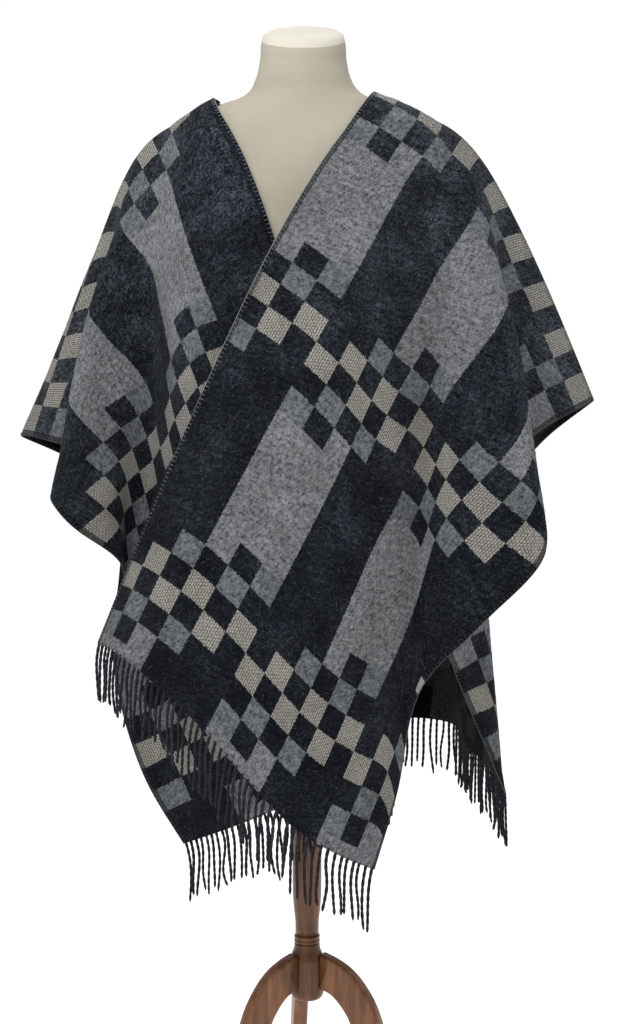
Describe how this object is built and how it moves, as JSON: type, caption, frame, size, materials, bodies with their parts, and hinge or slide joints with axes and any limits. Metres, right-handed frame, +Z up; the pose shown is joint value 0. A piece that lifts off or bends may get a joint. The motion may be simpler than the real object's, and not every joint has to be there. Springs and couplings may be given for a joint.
{
  "type": "wool poncho on a dress form with a wooden tripod stand",
  "caption": "Fringed plaid wool poncho, open in front with the left side lapped over the right, worn on a cream dress form on a turned wooden tripod stand.",
  "frame": {"origin": "middle of the part's bounding box, on the floor under the stand's feet", "axes": "+Z up; -Y is the front, the side the picture shows; +X is the wearer's left"},
  "size_m": [0.7879, 0.5239, 1.5792],
  "materials": {
    "plaid_wool": "brushed woollen weave in charcoal, grey and cream squares",
    "fringe_wool": "loose woollen yarn, charcoal and grey",
    "tab_weave": "plain woven tab, blank",
    "form_cover": "matte cream cotton jersey",
    "stand_wood": "brown stain, satin"
  },
  "bodies": {
    "root": {"front_left": "plaid_wool", "front_right": "plaid_wool", "back": "plaid_wool", "fringe_front_left": "fringe_wool", "fringe_front_right": "fringe_wool", "fringe_back": "fringe_wool", "woven_tab": "tab_weave", "dress_form": "form_cover", "stand_pole": "stand_wood", "stand_ring": "stand_wood", "stand_hub": "stand_wood", "leg_1": "stand_wood", "leg_2": "stand_wood", "leg_3": "stand_wood"}
  },
  "joints": []
}
